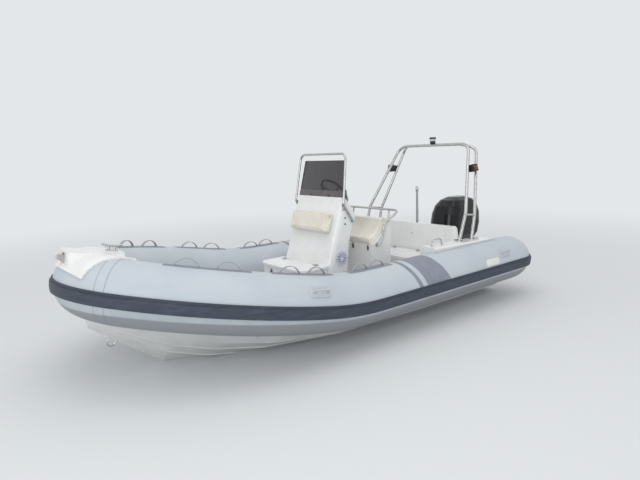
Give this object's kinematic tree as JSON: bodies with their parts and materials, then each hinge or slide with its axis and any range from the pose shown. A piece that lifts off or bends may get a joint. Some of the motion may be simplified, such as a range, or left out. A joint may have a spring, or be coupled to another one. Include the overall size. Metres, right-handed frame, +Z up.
{
  "type": "rigid inflatable boat",
  "caption": "Rigid inflatable boat with helm console, leaning seat, aft bench, light arch, tow pole and a tilting, steering outboard motor",
  "frame": {"origin": "on the centreline at the still waterline, amidships, 2.62 m forward of the tubes' stern tips", "axes": "+X to the bow, +Y to port, +Z up"},
  "size_m": [5.6061, 2.5138, 2.5403],
  "materials": {
    "tube_fabric": "satin",
    "strake_rubber": "matte",
    "patch_rubber": "matte",
    "webbing": "matte",
    "hull_gelcoat": "gloss",
    "deck_gelcoat": "gloss",
    "deck_tread": "satin",
    "cushion_vinyl": "satin",
    "smoked_screen": "gloss",
    "stainless": "polished",
    "black_plastic": "matte",
    "cowl_lacquer": "gloss",
    "motor_paint": "satin",
    "engine_alloy": "satin",
    "propeller_paint": "gloss",
    "white_nylon": "satin",
    "wheel_plastic": "satin",
    "pole_metal": "satin"
  },
  "bodies": {
    "boat": {"hull": "hull_gelcoat", "sole": "deck_tread", "foredeck": "deck_tread", "transom": "hull_gelcoat", "tube_port": "tube_fabric", "tube_starboard": "tube_fabric", "tube_bow": "tube_fabric", "rub_strake": "strake_rubber", "grab_patches": "patch_rubber", "grab_loops": "webbing", "carry_handles": "patch_rubber", "bow_eye": "stainless", "bow_moulding": "deck_gelcoat", "roller_bracket": "stainless", "bow_cleat": "stainless", "console": "deck_gelcoat", "console_vent": "white_nylon", "console_pad": "cushion_vinyl", "windscreen": "smoked_screen", "screen_frame": "stainless", "instrument_panel": "black_plastic", "steering_base": "black_plastic", "throttle": "black_plastic", "step_locker": "deck_gelcoat", "step_shelf": "deck_gelcoat", "seat_box": "deck_gelcoat", "seat_rail": "stainless", "aft_bench": "deck_gelcoat", "side_mouldings": "deck_gelcoat", "backrest_wall": "deck_gelcoat", "motor_well": "deck_gelcoat", "grab_handles": "stainless", "tow_pole": "pole_metal", "arch": "stainless", "masthead_light": "black_plastic", "light_port": "black_plastic", "light_starboard": "black_plastic", "clamp_bracket": "motor_paint"},
    "roller": {"bow_roller": "white_nylon"},
    "step_cover": {"step_lid": "deck_gelcoat"},
    "seat_top": {"seat_lid": "deck_gelcoat", "seat_cushion": "cushion_vinyl"},
    "bench_cover": {"bench_lid": "deck_gelcoat"},
    "helm_wheel": {"steering_wheel": "wheel_plastic"},
    "tilt_bracket": {"swivel_bracket": "motor_paint"},
    "motor": {"midsection": "motor_paint", "cowl": "cowl_lacquer", "engine_block": "engine_alloy", "gearcase": "motor_paint"},
    "prop": {"propeller": "propeller_paint"}
  },
  "joints": [
    {"name": "roller_spin", "type": "hinge", "parent": "boat", "child": "roller", "pos_m": [2.59, 0, 1.098], "axis": [0, 1, 0], "continuous": true},
    {"name": "step_lid_hinge", "type": "hinge", "parent": "boat", "child": "step_cover", "pos_m": [0.182, 0, 0.6705], "axis": [0, -1, 0], "range_deg": [0, 80]},
    {"name": "seat_lid_hinge", "type": "hinge", "parent": "boat", "child": "seat_top", "pos_m": [-0.776, 0, 1.0705], "axis": [0, -1, 0], "range_deg": [0, 60]},
    {"name": "bench_lid_hinge", "type": "hinge", "parent": "boat", "child": "bench_cover", "pos_m": [-1.538, 0, 0.5655], "axis": [0, -1, 0], "range_deg": [0, 85]},
    {"name": "motor_tilt", "type": "hinge", "parent": "boat", "child": "tilt_bracket", "pos_m": [-2.318, 0, 0.488], "axis": [0, 1, 0], "range_deg": [0, 60]},
    {"name": "motor_steer", "type": "hinge", "parent": "tilt_bracket", "child": "motor", "pos_m": [-2.462, 0, 0.488], "axis": [0, 0, 1], "range_deg": [-30, 30]},
    {"name": "prop_spin", "type": "hinge", "parent": "motor", "child": "prop", "pos_m": [-2.844, 0, -0.385], "axis": [1, 0, 0], "continuous": true},
    {"name": "wheel_turn", "type": "hinge", "parent": "boat", "child": "helm_wheel", "pos_m": [-0.3004, 0.03, 1.3868], "axis": [-0.8089, 0, 0.588], "range_deg": [-720, 720]}
  ],
  "couplings": [
    {"joint": "wheel_turn", "follows": "motor_steer", "ratio": -23.9}
  ]
}
